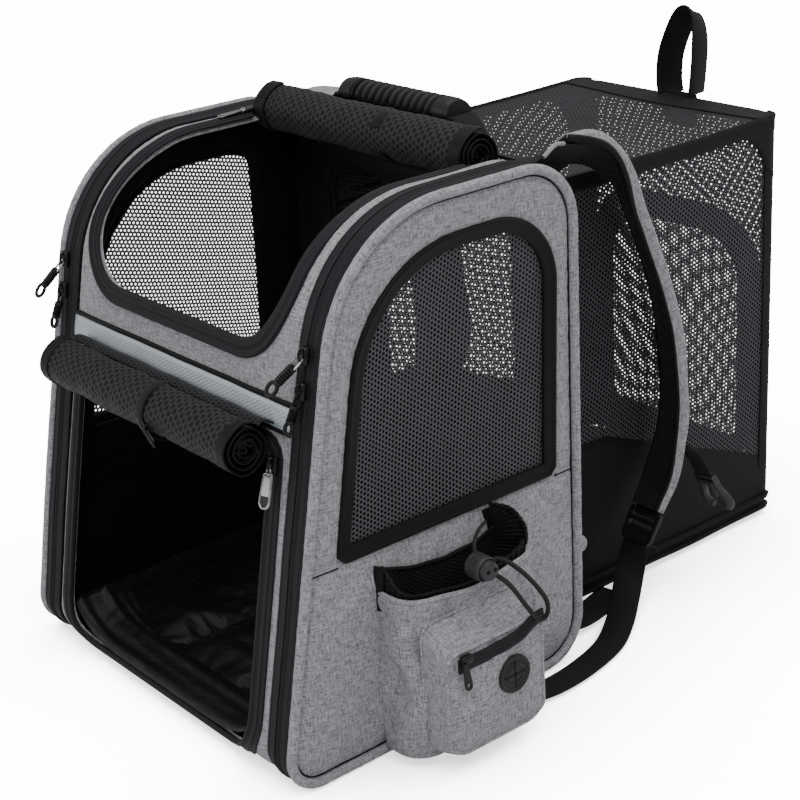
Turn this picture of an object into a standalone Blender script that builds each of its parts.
"""Expandable pet carrier backpack: D-profile soft-sided cabin, two side windows, rolled front
door and rolled roof flap, side pocket, padded shoulder straps and a mesh rear extension whose
end frame pushes in and whose padded floor panel folds up.

Metres, +Z up. Origin: centre of the cabin's flat underside. -Y is the door, +Y the extension,
+X ("right") the side with the pocket.
"""
import math

import bmesh
import bpy
from mathutils import Matrix, Vector

for old in list(bpy.data.objects):
    bpy.data.objects.remove(old, do_unlink=True)

# ---------------------------------------------------------------- driving dimensions (metres)
CABIN_W = 0.370          # over the two side panels' piping
CABIN_H = 0.425
FRONT_FOOT_Y = -0.1605   # where the front line meets the floor
FRONT_HEAD_Y = -0.0775   # where the front line meets the top line
REAR_FOOT_Y = 0.147
REAR_HEAD_Y = 0.151
GAP = 0.0003             # clearance between neighbouring pieces
PIPING_R = 0.004
PANEL_X0, PANEL_X1 = 0.1790, 0.1835   # side panel, inner and outer face
FLOOR_HALF = 0.1750      # half width of the bottom panel and the rear frame
FLOOR_FRONT_Y = -0.1200  # the bottom panel's front edge

SKIN = 0.0025            # gusset fabric with foam
SKIN_IN = 0.0030         # gusset surface, in from the piping's outer line
ZIP_X0, ZIP_X1 = 0.1525, 0.1765       # side zip tape, inner and outer edge
TOP_SAG = 0.012          # how far the roof hangs below the side panels' top line

DOOR_HALF, DOOR_TOP = 0.1325, 0.252
TAPE_W, TAPE_T = 0.013, 0.0012
ROLL_R = 0.020           # rolled door and rolled roof flap

# Corners of a closed outline: (Y, Z, corner radius), counter-clockwise from the front foot
SIDE = [
    (FRONT_FOOT_Y, 0.0, 0.030),
    (REAR_FOOT_Y, 0.0, 0.042),
    (REAR_HEAD_Y, CABIN_H, 0.052),
    (FRONT_HEAD_Y, CABIN_H, 0.116),
]
WINDOW = [
    (-0.095, 0.172, 0.004),
    (0.121, 0.172, 0.004),
    (0.129, 0.390, 0.058),
    (-0.056, 0.390, 0.108),
]

SIDES = (("right", 1), ("left", -1))  # name and sign of X
X_AXIS, Y_AXIS = Vector((1, 0, 0)), Vector((0, 1, 0))
THROUGH = 0.01           # reach of a small cutter to each side of the plate it pierces

# ---------------------------------------------------------------- collections and materials
PARTS = bpy.data.collections.new("pet_carrier_backpack")
CUTTERS = bpy.data.collections.new("cutters")
for collection in (PARTS, CUTTERS):
    bpy.context.scene.collection.children.link(collection)


def material(name, color, roughness, metallic=0.0):
    mat = bpy.data.materials.new(name)
    mat.use_nodes = True
    shader = mat.node_tree.nodes["Principled BSDF"]
    shader.inputs["Base Color"].default_value = (*color, 1.0)
    shader.inputs["Roughness"].default_value = roughness
    shader.inputs["Metallic"].default_value = metallic
    mat.diffuse_color = (*color, 1.0)
    return mat


GREY = material("grey_melange", color=(0.36, 0.36, 0.37), roughness=0.85)
BLACK = material("black_nylon", color=(0.018, 0.018, 0.021), roughness=0.6)
MESH = material("black_mesh", color=(0.022, 0.022, 0.024), roughness=0.7)
TAPE = material("zip_tape", color=(0.02, 0.02, 0.024), roughness=0.55)
FOAM = material("stiffener", color=(0.75, 0.75, 0.73), roughness=0.7)
REFLECT = material("reflective", color=(0.62, 0.66, 0.68), roughness=0.3)
PLASTIC = material("black_plastic", color=(0.03, 0.03, 0.032), roughness=0.4)
STEEL = material("steel", color=(0.55, 0.55, 0.56), roughness=0.3, metallic=1.0)
RUBBER = material("rubber", color=(0.05, 0.05, 0.055), roughness=0.7)


# ---------------------------------------------------------------- outlines and paths
def rounded(corners, seg):
    """Closed polygon with each corner (u, v, radius) replaced by an arc, seg steps a quarter."""
    out = []
    for i, (u, v, radius) in enumerate(corners):
        if radius <= 0:
            out.append((u, v))
            continue
        corner = Vector((u, v))
        back = (Vector(corners[i - 1][:2]) - corner).normalized()
        ahead = (Vector(corners[(i + 1) % len(corners)][:2]) - corner).normalized()
        half = back.angle(ahead) / 2
        trim = radius / math.tan(half)
        centre = corner + (back + ahead).normalized() * (radius / math.sin(half))
        start = math.atan2(*(corner + back * trim - centre).yx)
        end = math.atan2(*(corner + ahead * trim - centre).yx)
        sweep = (end - start + math.pi) % (2 * math.pi) - math.pi
        steps = max(1, round(seg * abs(sweep) / (math.pi / 2)))
        for j in range(steps + 1):
            angle = start + sweep * j / steps
            out.append((centre.x + radius * math.cos(angle), centre.y + radius * math.sin(angle)))
    return out


def rounded_rect(half, low, high, r_low, r_high, seg):
    """Rounded rectangle, half wide each way of u = 0, from v = low to v = high."""
    return rounded([(-half, low, r_low), (half, low, r_low),
                    (half, high, r_high), (-half, high, r_high)], seg)


def inset(corners, distance):
    """The same counter-clockwise rounded polygon moved in by distance."""
    out = []
    for i, (u, v, radius) in enumerate(corners):
        corner = Vector((u, v))
        edge_in = (corner - Vector(corners[i - 1][:2])).normalized()
        edge_out = (Vector(corners[(i + 1) % len(corners)][:2]) - corner).normalized()
        normal_in = Vector((-edge_in.y, edge_in.x))
        normal_out = Vector((-edge_out.y, edge_out.x))
        mitre = (normal_in + normal_out) / (1 + normal_in.dot(normal_out))
        out.append((u + mitre.x * distance, v + mitre.y * distance,
                    max(0.002, radius - distance) if radius else 0))
    return out


def smooth_path(controls, steps):
    """Catmull-Rom curve through the control points, a number of steps each span."""
    pts = [Vector(c) for c in controls]
    pts = [2 * pts[0] - pts[1]] + pts + [2 * pts[-1] - pts[-2]]
    out = []
    for i in range(1, len(pts) - 2):
        p0, p1, p2, p3 = pts[i - 1:i + 3]
        for j in range(steps):
            t = j / steps
            out.append(0.5 * ((2 * p1) + (p2 - p0) * t
                              + (2 * p0 - 5 * p1 + 4 * p2 - p3) * t * t
                              + (3 * p1 - p0 - 3 * p2 + p3) * t ** 3))
    out.append(pts[-2])
    return out


def smooth_step(t):
    t = min(1.0, max(0.0, t))
    return t * t * (3 - 2 * t)


def mirrored(sign, inner, outer):
    """The X range between two distances from the middle, on the side given by sign."""
    return sorted((sign * inner, sign * outer))


def neighbours(points, i):
    """The vector from the point before i to the point after it, staying on the line."""
    return points[min(i + 1, len(points) - 1)] - points[max(i - 1, 0)]


def frame(x_axis, y_axis, place):
    """Matrix of a local frame at place with the given X and Y axes."""
    matrix = Matrix((x_axis, y_axis, x_axis.cross(y_axis))).transposed().to_4x4()
    matrix.translation = place
    return matrix


# ---------------------------------------------------------------- solids
def add(name, data, mat=None):
    """Links a new object: a part if it has a material, otherwise a cutter."""
    obj = bpy.data.objects.new(name, data)
    (PARTS if mat else CUTTERS).objects.link(obj)
    if mat:
        obj.data.materials.append(mat)
    return obj


def add_bmesh(name, bm, mat):
    mesh = bpy.data.meshes.new(name)
    bm.to_mesh(mesh)
    bm.free()
    return add(name, mesh, mat)


def origin_at(obj, point):
    """Moves the object's origin to point without moving its shape."""
    point = Vector(point)
    obj.data.transform(Matrix.Translation(-point) @ obj.matrix_world)
    obj.matrix_world = Matrix.Translation(point)


def plate(name, loops, half_t, matrix, mat=None):
    """Flat plate from closed loops (the second one is a hole), half_t each way."""
    curve = bpy.data.curves.new(name, "CURVE")
    curve.dimensions = "2D"
    curve.fill_mode = "BOTH"
    curve.extrude = half_t
    for loop in loops:
        spline = curve.splines.new("POLY")
        spline.points.add(len(loop) - 1)
        for point, (u, v) in zip(spline.points, loop):
            point.co = (u, v, 0, 1)
        spline.use_cyclic_u = True
    obj = add(name, curve, mat)
    obj.matrix_world = matrix
    return obj


def plate_x(name, loops, x0, x1, mat=None):
    """Plate between two X values; loops are (Y, Z)."""
    turn = Matrix(((0, 0, 1, (x0 + x1) / 2), (1, 0, 0, 0), (0, 1, 0, 0), (0, 0, 0, 1)))
    return plate(name, loops, (x1 - x0) / 2, turn, mat)


def plate_y(name, loops, y0, y1, mat=None):
    """Plate between two Y values; loops are (X, Z)."""
    turn = Matrix(((1, 0, 0, 0), (0, 0, -1, (y0 + y1) / 2), (0, 1, 0, 0), (0, 0, 0, 1)))
    return plate(name, loops, (y1 - y0) / 2, turn, mat)


def plate_z(name, loops, z0, z1, mat=None):
    """Plate between two Z values; loops are (X, Y)."""
    return plate(name, loops, (z1 - z0) / 2, Matrix.Translation((0, 0, (z0 + z1) / 2)), mat)


def as_mesh(obj):
    """Replaces a curve object by a welded mesh object of the same name and place."""
    name = obj.name
    mat = obj.data.materials[0] if obj.data.materials else None
    depsgraph = bpy.context.evaluated_depsgraph_get()
    mesh = bpy.data.meshes.new_from_object(obj.evaluated_get(depsgraph))
    world = obj.matrix_world.copy()
    bpy.data.objects.remove(obj)
    bm = bmesh.new()
    bm.from_mesh(mesh)
    bmesh.ops.remove_doubles(bm, verts=bm.verts, dist=1e-5)
    bmesh.ops.recalc_face_normals(bm, faces=bm.faces)
    bm.to_mesh(mesh)
    bm.free()
    mesh.materials.clear()   # add() puts the material back
    new = add(name, mesh, mat)
    new.matrix_world = world
    return new


def tube(name, points, radius, mat, cyclic=False):
    curve = bpy.data.curves.new(name, "CURVE")
    curve.dimensions = "3D"
    curve.bevel_depth = radius
    curve.bevel_resolution = 1
    curve.use_fill_caps = not cyclic
    spline = curve.splines.new("POLY")
    spline.points.add(len(points) - 1)
    for point, place in zip(spline.points, points):
        point.co = (*place, 1)
    spline.use_cyclic_u = cyclic
    add(name, curve, mat)


def cylinder(name, start, end, radius, seg, mat=None):
    start, end = Vector(start), Vector(end)
    axis = end - start
    turn = axis.to_track_quat("Z", "Y").to_matrix().to_4x4()
    bm = bmesh.new()
    bmesh.ops.create_cone(bm, cap_ends=True, segments=seg, radius1=radius, radius2=radius,
                          depth=axis.length, matrix=Matrix.Translation((start + end) / 2) @ turn)
    obj = add_bmesh(name, bm, mat)
    obj.data.shade_smooth()
    obj.data.set_sharp_from_angle(angle=math.radians(40))
    return obj


def cylinder_x(name, x0, x1, y, z, radius, seg, mat=None):
    return cylinder(name, (x0, y, z), (x1, y, z), radius, seg, mat)


def box(name, lo, hi, mat=None, bevel=0.0, matrix=None):
    """Box between two corners, in the frame given by matrix."""
    bm = bmesh.new()
    bmesh.ops.create_cube(bm, size=1)
    for v in bm.verts:
        for k in range(3):
            v.co[k] = lo[k] if v.co[k] < 0 else hi[k]
    if matrix:
        bmesh.ops.transform(bm, matrix=matrix, verts=bm.verts)
    bmesh.ops.recalc_face_normals(bm, faces=bm.faces)
    obj = add_bmesh(name, bm, mat)
    if bevel:
        edges = obj.modifiers.new("edges", "BEVEL")
        edges.width = bevel
        edges.segments = 2
        edges.limit_method = "ANGLE"
    return obj


def loft(name, rings, mat):
    """Solid through a list of closed rings with equal point counts."""
    bm = bmesh.new()
    rows = [[bm.verts.new(p) for p in ring] for ring in rings]
    n = len(rows[0])
    for a, b in zip(rows[:-1], rows[1:]):
        for i in range(n):
            bm.faces.new((a[i], a[(i + 1) % n], b[(i + 1) % n], b[i]))
    bm.faces.new(rows[0])
    bm.faces.new(rows[-1])
    bmesh.ops.recalc_face_normals(bm, faces=bm.faces)
    return add_bmesh(name, bm, mat)


def ribbon(name, path, across, widths, thick, mat, chamfer=0.0):
    """A band swept along path. across (its width direction) and widths are one value for the
    whole band or a list with one for each point."""
    rings = []
    for i, point in enumerate(path):
        tangent = neighbours(path, i).normalized()
        wide = Vector(across[i] if isinstance(across, list) else across)
        wide = (wide - tangent * wide.dot(tangent)).normalized()
        normal = tangent.cross(wide)
        w = (widths[i] if isinstance(widths, list) else widths) / 2
        h, c = thick / 2, chamfer
        if chamfer:
            section = [(-w, -h + c), (-w + c, -h), (w - c, -h), (w, -h + c),
                       (w, h - c), (w - c, h), (-w + c, h), (-w, h - c)]
        else:
            section = [(-w, -h), (w, -h), (w, h), (-w, h)]
        rings.append([point + wide * a + normal * b for a, b in section])
    return loft(name, rings, mat)


def cut(target, cutter, operation="DIFFERENCE"):
    cutter.hide_render = True
    cutter.display_type = "WIRE"
    boolean = target.modifiers.new(operation.lower(), "BOOLEAN")
    boolean.operation = operation
    boolean.object = cutter
    boolean.solver = "EXACT"


# ---------------------------------------------------------------- side panels
PANEL_IN = 0.0084        # panel outline, in from the piping's outer line
BOARD_IN = 0.014         # stiffener outline, in from the same line
BOARD_X0, BOARD_X1 = 0.1755, 0.1785
BOARD_BACK = 0.004       # stiffener's opening, out from the window's edge
MESH_X0, MESH_X1 = 0.1735, 0.1747
MESH_LAP = 0.010         # window mesh, out from the window's edge


def build_side_panel(side, sign):
    """Panel with window, stiffener board, window mesh and piping."""
    plate_x(f"side_panel_{side}", [rounded(inset(SIDE, PANEL_IN), 6), rounded(WINDOW, 5)],
            *mirrored(sign, PANEL_X0, PANEL_X1), GREY)
    plate_x(f"stiffener_board_{side}",
            [rounded(inset(SIDE, BOARD_IN), 5), rounded(inset(WINDOW, -BOARD_BACK), 4)],
            *mirrored(sign, BOARD_X0, BOARD_X1), FOAM)
    plate_x(f"window_mesh_{side}", [rounded(inset(WINDOW, -MESH_LAP), 4)],
            *mirrored(sign, MESH_X0, MESH_X1), MESH)
    x = sign * (CABIN_W / 2 - PIPING_R)
    tube(f"piping_{side}", [(x, y, z) for y, z in rounded(inset(SIDE, PIPING_R), 6)],
         PIPING_R, GREY, cyclic=True)


# ---------------------------------------------------------------- gusset profile
# Profile points are 2D vectors: .x is world Y and .y is world Z.
PROFILE_STEP = 0.004
SKIN_OUTLINE = inset(SIDE, SKIN_IN)
SKIN_FOOT, SKIN_REAR_FOOT, SKIN_REAR_HEAD, SKIN_HEAD = SKIN_OUTLINE
PROFILE_END_Z = 0.250    # where the profile stops on the rear face


def gusset_profile():
    """The line from the underside, up the front, back along the top and down the rear."""
    line = [Vector(p) for p in rounded(
        [(*SKIN_REAR_FOOT[:2], 0), SKIN_FOOT, SKIN_HEAD, SKIN_REAR_HEAD,
         (SKIN_REAR_HEAD[0], PROFILE_END_Z, 0)][:1]
        + [SKIN_FOOT, SKIN_HEAD, SKIN_REAR_HEAD, (SKIN_REAR_HEAD[0], PROFILE_END_Z, 0)], 7)]
    out = [line[0]]
    for a, b in zip(line[:-1], line[1:]):
        n = max(1, math.ceil((b - a).length / PROFILE_STEP))
        out += [a + (b - a) * (j + 1) / n for j in range(n)]
    return out


PROFILE = gusset_profile()


def clip_profile(keep):
    """The part of the profile where keep(point) is true, its ends found by bisection and
    points on nearly straight runs left out."""
    kept = []
    for a, b in zip(PROFILE[:-1], PROFILE[1:]):
        a_in, b_in = keep(a), keep(b)
        if a_in and not kept:
            kept.append(a)
        if a_in != b_in:
            inside, outside = (a, b) if a_in else (b, a)
            for _ in range(40):
                middle = (inside + outside) / 2
                if keep(middle):
                    inside = middle
                else:
                    outside = middle
            kept.append(inside)
        if b_in:
            kept.append(b)
    clean = [kept[0]]
    for point, after in zip(kept[1:-1], kept[2:]):
        step, onward = point - clean[-1], after - point
        if step.length <= 1e-4:
            continue
        bend = step.angle(onward) if onward.length > 1e-6 else 0
        if bend > math.radians(1.5) or (after - clean[-1]).length > 0.045:
            clean.append(point)
    clean.append(kept[-1])
    return clean


def sag(point, x):
    """How far the roof hangs in at a profile point and cross position x."""
    up_front = smooth_step((point.y - 0.330) / 0.085)
    rearwards = smooth_step((point.x + 0.110) / 0.100)
    across = smooth_step((ZIP_X0 - abs(x)) / 0.045)   # none at the side zips
    return TOP_SAG * up_front * rearwards * across


def skin(name, line, columns, mat, thick=SKIN, lift=0.0):
    """Closed shell over a profile line: columns are its X values, thick goes inwards and lift
    raises it off the gusset surface."""
    bm = bmesh.new()

    def grid(depth):
        rows = []
        for i, p in enumerate(line):
            tangent = neighbours(line, i).normalized()
            inward = Vector((tangent.y, -tangent.x))
            rows.append([bm.verts.new((x, *(p + inward * (depth + sag(p, x) - lift))))
                         for x in columns])
        return rows

    out, inn = grid(0.0), grid(thick)
    last_row, last_col = len(line) - 1, len(columns) - 1
    for i in range(last_row):
        for j in range(last_col):
            bm.faces.new((out[i][j], out[i][j + 1], out[i + 1][j + 1], out[i + 1][j]))
            bm.faces.new((inn[i][j], inn[i + 1][j], inn[i + 1][j + 1], inn[i][j + 1]))
    for i in range(last_row):
        for j in (0, last_col):
            bm.faces.new((out[i][j], out[i + 1][j], inn[i + 1][j], inn[i][j]))
    for j in range(last_col):
        for i in (0, last_row):
            bm.faces.new((out[i][j], out[i][j + 1], inn[i][j + 1], inn[i][j]))
    bmesh.ops.recalc_face_normals(bm, faces=bm.faces)
    return add_bmesh(name, bm, mat)


# ---------------------------------------------------------------- gusset: band over front and top
SEAM_Z = 0.281           # seam between front and roof panels
YOKE_Y = 0.1235          # front edge of the roof's rear yoke
YOKE_LOW = 0.3885        # its lower edge, on the rear face
ZIP_END_Y = 0.118        # rear end of the side zips, on the top
ZIP_T = 0.0015
DOOR_LOW = 0.020         # foot of the doorway
GUSSET_HALF = ZIP_X0 - GAP
FRONT_COLUMNS = [-GUSSET_HALF, -0.1, 0, 0.1, GUSSET_HALF]
SLOPE_X0, SLOPE_X1 = 0.140, 0.125     # columns bounding the slope that bears the roof slider
ROOF_COLUMNS = [-GUSSET_HALF, -SLOPE_X0, -SLOPE_X1, -0.108, 0,
                0.108, SLOPE_X1, SLOPE_X0, GUSSET_HALF]
ROOF_LINE = clip_profile(lambda p: p.y > SEAM_Z + GAP and p.x < YOKE_Y)


def off_underside(point):
    """True ahead of the bottom panel and everywhere above it."""
    return point.x < FLOOR_FRONT_Y or point.y > 0.05


def roof_cutter(name, margin, front_r, back, half_depth):
    """Prism square to a slanting plane, so that the opening runs from the upper front over the
    top. margin widens it beyond the opening."""
    half, front = 0.128 + margin, -0.068 - margin
    loop = rounded([(-half, front, front_r), (half, front, front_r),
                    (half + 0.004, back, 0), (-half - 0.004, back, 0)], 5)
    place = Matrix.Translation((0, -0.055, 0.380)) @ Matrix.Rotation(math.radians(42), 4, "X")
    return as_mesh(plate(name, [loop], half_depth, place))


def build_gusset():
    front_line = clip_profile(lambda p: p.y < SEAM_Z and p.x < 0 and off_underside(p))
    front = skin("gusset_front", front_line, FRONT_COLUMNS, GREY)
    doorway = rounded_rect(DOOR_HALF, DOOR_LOW, DOOR_TOP, 0.032, 0.010, 4)
    cut(front, as_mesh(plate_y("door_cutter", [doorway], -0.22, -0.06)))

    roof = skin("gusset_roof", ROOF_LINE, ROOF_COLUMNS, GREY)
    cut(roof, roof_cutter("roof_cutter", 0, 0.052, 0.190, 0.10))

    yoke_line = clip_profile(lambda p: p.y > YOKE_LOW and YOKE_Y + GAP < p.x)
    skin("top_yoke", yoke_line, ROOF_COLUMNS, BLACK)


def build_side_zips():
    """The tapes between the gusset and each side panel."""
    line = clip_profile(lambda p: off_underside(p) and p.x < ZIP_END_Y)
    for side, sign in SIDES:
        skin(f"side_zip_{side}", line, mirrored(sign, ZIP_X0, ZIP_X1), TAPE, thick=ZIP_T)


# ---------------------------------------------------------------- trim on the front and the roof
FRONT_UP = Vector((0, FRONT_HEAD_Y - FRONT_FOOT_Y, CABIN_H)).normalized()   # up the front line
FRONT_OUT = Vector((0, -FRONT_UP.z, FRONT_UP.y))                            # out of the front
TAPE_FOOT = 0.040        # lower ends of the door tape, where the rounded corner begins
STRIP_HALF, STRIP_LOW, STRIP_TOP = 0.1515, 0.2675, 0.2935
STRIP_T = 0.0012
ROOF_TAPE_LIFT = 4 * GAP   # underside of the roof tape above the gusset surface


def front_point(x, z, out=0.0):
    """The point on the straight front at height z, moved out by out."""
    y = SKIN_FOOT[0] + (z - SKIN_FOOT[1]) * FRONT_UP.y / FRONT_UP.z
    return Vector((x, y, z)) + FRONT_OUT * out


def plate_on_front(name, loop, thick, mat):
    """Flat plate lying on the sloping front; the loop is (X, Z)."""
    along_slope = [(x, z / FRONT_UP.z) for x, z in loop]
    plate(name, [along_slope], thick / 2,
          frame(X_AXIS, FRONT_UP, front_point(0, 0, GAP + thick / 2)), mat)


def build_trim():
    outer, top = DOOR_HALF + TAPE_W, DOOR_TOP + TAPE_W
    # band over the top and sides of the doorway, open at the foot
    plate_on_front("door_zip_tape", [
        (-outer, TAPE_FOOT), (-DOOR_HALF, TAPE_FOOT), (-DOOR_HALF, DOOR_TOP),
        (DOOR_HALF, DOOR_TOP), (DOOR_HALF, TAPE_FOOT), (outer, TAPE_FOOT),
        (outer, top), (-outer, top)], TAPE_T, TAPE)
    # strip over the seam above the door
    plate_on_front("reflective_strip", [
        (-STRIP_HALF, STRIP_LOW), (STRIP_HALF, STRIP_LOW),
        (STRIP_HALF, STRIP_TOP), (-STRIP_HALF, STRIP_TOP)], STRIP_T, REFLECT)
    # frames the roof opening on its two long edges and its rounded front
    tape = skin("roof_zip_tape", ROOF_LINE, ROOF_COLUMNS, TAPE,
                thick=TAPE_T, lift=TAPE_T + ROOF_TAPE_LIFT)
    cut(tape, roof_cutter("tape_keep", TAPE_W, 0.060, 0.190, 0.12), "INTERSECT")
    cut(tape, roof_cutter("tape_open", 0.001, 0.052, 0.200, 0.13))


# ---------------------------------------------------------------- bottom, cushion, rear frame
def build_base():
    box("bottom_panel", (-FLOOR_HALF, FLOOR_FRONT_Y + GAP, 0.0), (FLOOR_HALF, 0.1180, 0.0040),
        BLACK)
    plate_z("floor_cushion", [rounded_rect(0.150, -0.108, 0.122, 0.02, 0.02, 4)],
            0.0045, 0.0165, BLACK)
    plate_y("rear_frame", [rounded_rect(FLOOR_HALF, 0.0220, 0.3860, 0.020, 0.030, 4),
                           rounded_rect(0.1180, 0.0360, 0.3680, 0.012, 0.030, 4)],
            0.1405, 0.1430, BLACK)


# ---------------------------------------------------------------- side pocket
POCKET_X0, POCKET_X1, POCKET_HALF = PANEL_X1 + GAP, 0.2220, 0.0650
POCKET_WALL, POCKET_FLOOR = 0.0022, 0.0030
POCKET_LOW, POCKET_TOP, COLLAR_TOP = 0.0100, 0.1400, 0.1600
# Stations of the raised front pocket: (Y, drop in X, drop in Z at top and bottom)
POCKET_FRONT = [
    (-0.0560, 0.010, 0.006), (-0.0500, 0.002, 0.001), (-0.0460, 0.000, 0.000),
    (0.0380, 0.000, 0.000), (0.0420, 0.002, 0.001), (0.0480, 0.010, 0.006),
]
FITTING_X = 0.2503       # inner face of the fittings on the raised front
LOCK_Y, LOCK_Z = -0.005, 0.1560
BUNGEE = [
    (0.2320, 0.0080, 0.1560), (0.2400, 0.0200, 0.1480), (0.2540, 0.0330, 0.1280),
    (0.2600, 0.0360, 0.1080), (0.2585, 0.0280, 0.0960), (0.2585, 0.0190, 0.1010),
    (0.2520, 0.0125, 0.1240), (0.2380, 0.0080, 0.1440),
]


def pocket_plan(d):
    """The pocket's plan, moved in by d."""
    half, near, far, outer_r = POCKET_HALF - d, POCKET_X0 + d, POCKET_X1 - d, 0.024 - d
    return rounded([(near, -half, 0.004), (far, -half, outer_r),
                    (far, half, outer_r), (near, half, 0.004)], 4)


def build_pocket():
    body = as_mesh(plate_z("pocket_body", [pocket_plan(0)], POCKET_LOW, POCKET_TOP, GREY))
    cut(body, as_mesh(plate_z("pocket_hollow", [pocket_plan(POCKET_WALL)],
                              POCKET_LOW + POCKET_FLOOR, POCKET_TOP + 0.02)))
    plate_z("pocket_collar", [pocket_plan(0.0006), pocket_plan(0.0026)],
            POCKET_TOP + GAP, COLLAR_TOP, MESH)
    back = POCKET_X1 + GAP
    loft("pocket_front", [
        [(back, y, 0.0130 + dz), (0.2440 - dx, y, 0.0140 + dz), (0.2500 - dx, y, 0.0240 + dz),
         (0.2500 - dx, y, 0.0980 - dz), (0.2440 - dx, y, 0.1060 - dz), (back, y, 0.1220 - dz)]
        for y, dx, dz in POCKET_FRONT], GREY)
    cylinder_x("grommet", FITTING_X, 0.2530, 0.005, 0.071, 0.0125, 20, RUBBER)
    slider = box("pocket_slider", (FITTING_X, -0.0450, 0.0985), (0.2545, -0.0350, 0.1045),
                 PLASTIC, bevel=0.0008)
    origin_at(slider, (0.252, -0.04, 0.1015))


def build_cord_lock():
    """Cord lock with its button, and the bungee cord."""
    lock = cylinder_x("cord_lock", 0.2245, 0.2400, LOCK_Y, LOCK_Z, 0.0110, 20, PLASTIC)
    cut(lock, cylinder_x("lock_bore", 0.2325, 0.2450, LOCK_Y, LOCK_Z, 0.0085, 20))
    cylinder_x("cord_lock_button", 0.2360, 0.2450, LOCK_Y, LOCK_Z, 0.0080, 16, PLASTIC)
    tube("bungee_cord", smooth_path(BUNGEE, 3), 0.0014, BLACK)


# ---------------------------------------------------------------- rolled door and roof flap
DOOR_HINGE = front_point(0, 0.2740, 0.0040)
DOOR_ROLL_Y, DOOR_ROLL_Z = DOOR_HINGE.y - 0.0235, DOOR_HINGE.z - 0.0155
ROOF_HINGE = (0, 0.1235, 0.4100)
ROOF_ROLL_Y, ROOF_ROLL_Z = 0.1000, 0.4230


def build_rolls():
    origin_at(cylinder_x("door_roll", -0.1230, 0.1335, DOOR_ROLL_Y, DOOR_ROLL_Z, ROLL_R, 18, MESH),
              DOOR_HINGE)
    origin_at(cylinder_x("roof_roll", -0.1300, 0.1300, ROOF_ROLL_Y, ROOF_ROLL_Z, ROLL_R, 18, MESH),
              ROOF_HINGE)


# ---------------------------------------------------------------- carry handle
HANDLE_Y, HANDLE_Z = 0.1360, 0.4030   # foot of the handle
GRIP_Z = 0.4335
GRIP_HALF, GRIP_R = 0.0650, 0.0100
BORE_HALF_Y, BORE_HALF_Z = 0.0074, 0.0030
HANDLE_XZ = [
    (-0.0900, HANDLE_Z), (-0.0885, 0.4180), (-0.0700, GRIP_Z),
    (0.0700, GRIP_Z), (0.0885, 0.4180), (0.0900, HANDLE_Z),
]


def build_handle():
    foot = (0, HANDLE_Y, HANDLE_Z)
    path = smooth_path([(x, HANDLE_Y, z) for x, z in HANDLE_XZ], 3)
    origin_at(ribbon("handle_webbing", path, Y_AXIS, 0.0140, 0.0018, BLACK), foot)
    grip = cylinder_x("handle_grip", -GRIP_HALF, GRIP_HALF, HANDLE_Y, GRIP_Z, GRIP_R, 16, RUBBER)
    cut(grip, box("grip_bore", (-0.08, HANDLE_Y - BORE_HALF_Y, GRIP_Z - BORE_HALF_Z),
                  (0.08, HANDLE_Y + BORE_HALF_Y, GRIP_Z + BORE_HALF_Z)))
    origin_at(grip, foot)


# ---------------------------------------------------------------- rear extension
TENT_HALF, TENT_Y0, TENT_END_Y, TENT_TOP = 0.1207, 0.1500, 0.4570, 0.3820
TENT_T, END_T = 0.0012, 0.0014        # side and roof mesh, end wall mesh
BASE_TOP, BASE_T = 0.0200, 0.0185
FOLD_Y, FOLD_Z = 0.1650, 0.0205       # fold line of the floor panel
END_DOOR_FOOT = 0.0500
WIRE_Y = TENT_END_Y + 0.0045
PULL_LOOP_XZ = [
    (-0.0060, 0.3855), (-0.0090, 0.4100), (-0.0010, 0.4450), (0.0140, 0.4640),
    (0.0270, 0.4500), (0.0280, 0.4150), (0.0170, 0.3855),
]


def build_tent():
    """Mesh sides and roof, and the padded floor panel."""
    rear = TENT_END_Y - 0.0010
    for side, sign in SIDES:
        x0, x1 = mirrored(sign, TENT_HALF - TENT_T, TENT_HALF)
        box(f"tent_side_{side}", (x0, TENT_Y0, BASE_TOP + 2 * GAP), (x1, rear, TENT_TOP - GAP),
            MESH)
    box("tent_roof", (-TENT_HALF, TENT_Y0, TENT_TOP), (TENT_HALF, rear, TENT_TOP + TENT_T), MESH)
    floor = plate_z("tent_floor_panel",
                    [rounded_rect(0.1200, FOLD_Y + 0.002, 0.4520, 0.006, 0.018, 3)],
                    BASE_TOP - BASE_T, BASE_TOP, BLACK)
    origin_at(as_mesh(floor), (0, FOLD_Y, FOLD_Z))


def build_tent_end():
    """End wall with its arched door, the wire frame and the pull loop."""
    plate_y("tent_end_wall",
            [rounded_rect(0.1180, 0.0235, 0.3805, 0.008, 0.012, 3),
             rounded_rect(0.0930, END_DOOR_FOOT, 0.2800, 0.008, 0.060, 4)],
            TENT_END_Y, TENT_END_Y + END_T, MESH)
    door = plate_y("tent_end_door",
                   [rounded_rect(0.0922, END_DOOR_FOOT + 0.0008, 0.2792, 0.0075, 0.0593, 4)],
                   TENT_END_Y, TENT_END_Y + END_T, MESH)
    origin_at(as_mesh(door), (0, TENT_END_Y + 0.0022, END_DOOR_FOOT))
    hoop = rounded_rect(0.1165, 0.0260, 0.3790, 0.014, 0.014, 3)
    tube("tent_frame_wire", [(x, WIRE_Y, z) for x, z in hoop], 0.0022, STEEL, cyclic=True)
    path = smooth_path([(x, WIRE_Y, z) for x, z in PULL_LOOP_XZ], 3)
    origin_at(ribbon("pull_loop", path, Y_AXIS, 0.0180, 0.0018, BLACK), (0.003, WIRE_Y, 0.3850))


# ---------------------------------------------------------------- shoulder straps
STRAP_X, STRAP_W, STRAP_T, STRAP_CHAMFER = 0.1500, 0.0500, 0.0100, 0.003
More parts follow.
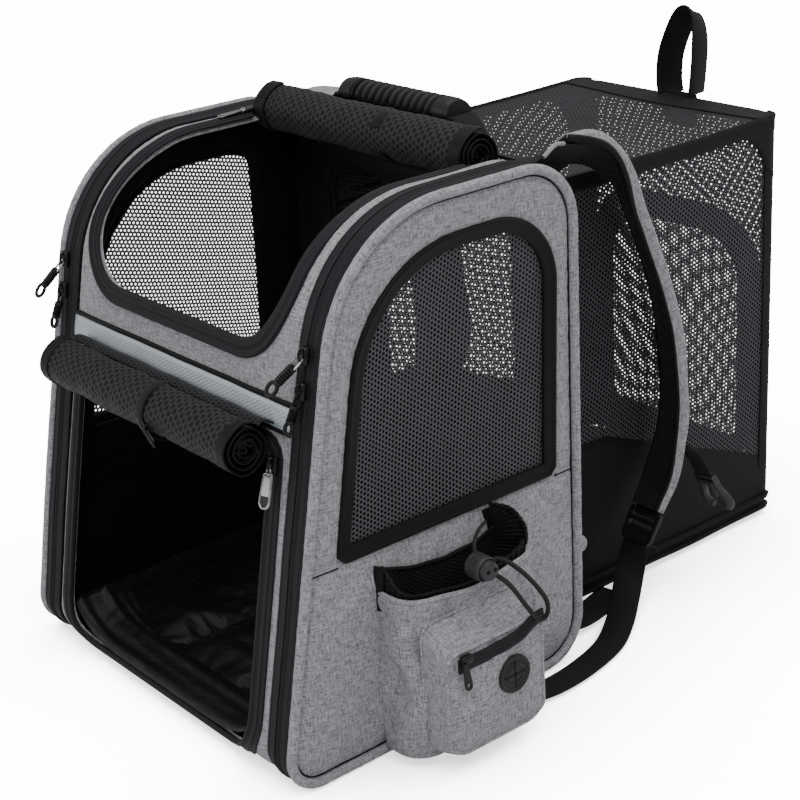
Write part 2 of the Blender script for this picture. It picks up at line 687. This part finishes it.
# Centre line of a strap from its top end: (Y, Z)
STRAP_YZ = [
    (0.1545, 0.4190), (0.1900, 0.4120), (0.2180, 0.3930), (0.2400, 0.3640),
    (0.2560, 0.3290), (0.2720, 0.2900), (0.2850, 0.2480), (0.2910, 0.2050),
    (0.2930, 0.1720), (0.2890, 0.1400), (0.2770, 0.1080), (0.2600, 0.0820),
]
LOCK_SLOTS = ((-0.0105, -0.0065), (-0.0020, 0.0020), (0.0065, 0.0105))   # along the strap
# Adjusting webbing below the ladder lock, right side: (X, Y, Z)
ADJUSTER = [
    (0.1520, 0.2330, 0.0260), (0.1620, 0.2180, 0.0080), (0.1800, 0.1950, 0.0026),
    (0.1980, 0.1550, 0.0022), (0.2060, 0.1100, 0.0022), (0.2060, 0.0720, 0.0022),
]


def build_strap(side, sign):
    """Padded strap, narrow at its top and tapering at its foot; returns the foot point and
    the direction it runs out in."""
    path = smooth_path([(sign * STRAP_X, y, z) for y, z in STRAP_YZ], 2)
    n = len(path)
    widths = [STRAP_W * (0.80 if i < 2 else 1.0 if i < n - 5 else 1.0 - 0.09 * (i - n + 6))
              for i in range(n)]
    strap = ribbon(f"shoulder_strap_{side}", path, X_AXIS, widths, STRAP_T, GREY, STRAP_CHAMFER)
    origin_at(strap, (sign * STRAP_X, *STRAP_YZ[0]))
    return path[-1], (path[-1] - path[-3]).normalized()


def build_ladder_lock(side, foot, along):
    """Three-slot buckle just below the padded end, in line with it."""
    place = frame(X_AXIS, along, foot + along * 0.0165)
    lock = box(f"ladder_lock_{side}", (-0.0170, -0.0140, -0.0020), (0.0170, 0.0140, 0.0020),
               PLASTIC, matrix=place)
    for k, (y0, y1) in enumerate(LOCK_SLOTS):
        cut(lock, box(f"lock_slot_{side}_{k}", (-0.0132, y0, -THROUGH), (0.0132, y1, THROUGH),
                      matrix=place))
    origin_at(lock, foot + along * 0.0030)


def build_adjuster(side, sign, start):
    """Webbing from the ladder lock to the cabin's lower side, turning to lie flat."""
    path = smooth_path([start] + [(sign * x, y, z) for x, y, z in ADJUSTER], 3)
    across = []
    for i in range(len(path)):
        turned = smooth_step(i / 9)
        tangent = neighbours(path, i)
        level = Vector((tangent.y, -tangent.x, 0)).normalized()
        across.append(X_AXIS * sign * (1 - turned) + level * turned)
    ribbon(f"adjuster_webbing_{side}", path, across, 0.0250, 0.0015, BLACK)


def build_sternum_half(side, sign):
    """Sternum strap half hanging from the shoulder strap; the right one has the prongs."""
    hang = Vector((sign * 0.1600, 0.2985, 0.1300))
    down = Vector((sign * 0.20, 0.42, -0.885)).normalized()
    across = (X_AXIS * sign - down * down.x * sign).normalized()
    place = frame(across, down, hang + down * 0.0030)

    def slot(name, x0, x1, y0, y1, half_z=THROUGH):
        cut(buckle, box(name, (x0, y0, -half_z), (x1, y1, half_z), matrix=place))

    kind, tip = ("male", 0.0560) if sign > 0 else ("female", 0.0640)
    buckle = box(f"sternum_buckle_{kind}", (-0.0120, 0.0300, -0.0030), (0.0120, tip, 0.0030),
                 PLASTIC, matrix=place)
    if sign > 0:
        slot("prong_gap_a", -0.0085, -0.0025, 0.0390, 0.0700)
        slot("prong_gap_b", 0.0025, 0.0085, 0.0390, 0.0700)
    else:
        slot("socket", -0.0095, 0.0095, 0.0440, 0.0700, half_z=0.0018)
    slot(f"web_slot_{side}", -0.0100, 0.0100, 0.0325, 0.0350)
    origin_at(buckle, hang)
    web = box(f"sternum_web_{side}", (-0.0098, 0.0010, -0.0007), (0.0098, 0.0296, 0.0007),
              BLACK, matrix=place)
    origin_at(web, hang)


# ---------------------------------------------------------------- zip sliders and pulls
PULL_W, PULL_HALF_T = 0.0056, 0.0012
SIDE_SLIDER_X = 0.1645
# Sliders of each side zip: name, Z, X of the pull, lift of the pull in degrees
SIDE_SLIDERS = (("upper", 0.3290, 0.1570, 22), ("lower", 0.3040, 0.1722, 8))
DOOR_SLIDER_X = 0.1392
ROOF_SLIDER_X, ROOF_SLIDER_Y = -0.1360, 0.0790
ROOF_SLIDER_LOW = TAPE_T + 5 * GAP    # slider underside above the gusset surface


def build_slider(tag, x, z, pull_x, stand_off, pull_length, lift_deg):
    """A zip slider on the front line at height z and its pull, hinged on its nose with the
    lower end lifted off. In their frames Y runs down the front and -Z out of it."""
    centre = front_point(x, z, stand_off)
    slider = box(f"slider_{tag}", (-0.0042, -0.0060, -0.0045), (0.0042, 0.0060, 0.0), PLASTIC,
                 bevel=0.0008, matrix=frame(X_AXIS, -FRONT_UP, centre))
    origin_at(slider, centre)

    hinge = front_point(pull_x, z, stand_off + 0.0062) - FRONT_UP * 0.001
    place = (Matrix.Translation(hinge) @ Matrix.Rotation(math.radians(-lift_deg), 4, "X")
             @ frame(X_AXIS, -FRONT_UP, (0, 0, 0)))
    pull = box(f"pull_{tag}", (-PULL_W / 2, -0.0010, -PULL_HALF_T),
               (PULL_W / 2, pull_length, PULL_HALF_T), PLASTIC, matrix=place)
    eye_y = pull_length - 0.0050
    cut(pull, cylinder(f"pull_eye_{tag}", place @ Vector((0, eye_y, -THROUGH)),
                       place @ Vector((0, eye_y, THROUGH)), PULL_W * 0.28, 8))
    origin_at(pull, hinge)


def build_roof_slider():
    """Slider on the sloping left edge of the roof opening, beside the roll."""
    top_point = Vector((ROOF_SLIDER_Y, 0.42))
    outer_sag, inner_sag = sag(top_point, -SLOPE_X0), sag(top_point, -SLOPE_X1)
    slope = math.atan2(inner_sag - outer_sag, SLOPE_X0 - SLOPE_X1)
    drop = outer_sag + (ROOF_SLIDER_X + SLOPE_X0) * math.tan(slope)
    place = Vector((ROOF_SLIDER_X, ROOF_SLIDER_Y, CABIN_H - SKIN_IN - drop))
    slider = box("roof_slider", (-0.0036, -0.0060, ROOF_SLIDER_LOW),
                 (0.0036, 0.0060, ROOF_SLIDER_LOW + 0.0036), PLASTIC,
                 matrix=Matrix.Translation(place) @ Matrix.Rotation(slope, 4, "Y"))
    origin_at(slider, place)


def build_sliders():
    for side, sign in SIDES:
        for level, z, pull_x, lift_deg in SIDE_SLIDERS:
            build_slider(f"{side}_{level}", x=sign * SIDE_SLIDER_X, z=z, pull_x=sign * pull_x,
                         stand_off=0.0005, pull_length=0.040, lift_deg=lift_deg)
    build_slider("door", x=DOOR_SLIDER_X, z=0.2440, pull_x=DOOR_SLIDER_X,
                 stand_off=GAP + TAPE_T + 0.0004, pull_length=0.036, lift_deg=12)
    build_roof_slider()


# ---------------------------------------------------------------- assembly
for side_name, side_sign in SIDES:
    build_side_panel(side_name, side_sign)
build_gusset()
build_side_zips()
build_trim()
build_base()
build_pocket()
build_cord_lock()
build_rolls()
build_handle()
build_tent()
build_tent_end()
for side_name, side_sign in SIDES:
    strap_foot, strap_run = build_strap(side_name, side_sign)
    build_ladder_lock(side_name, strap_foot, strap_run)
    build_adjuster(side_name, side_sign, strap_foot + strap_run * 0.0345)
    build_sternum_half(side_name, side_sign)
build_sliders()
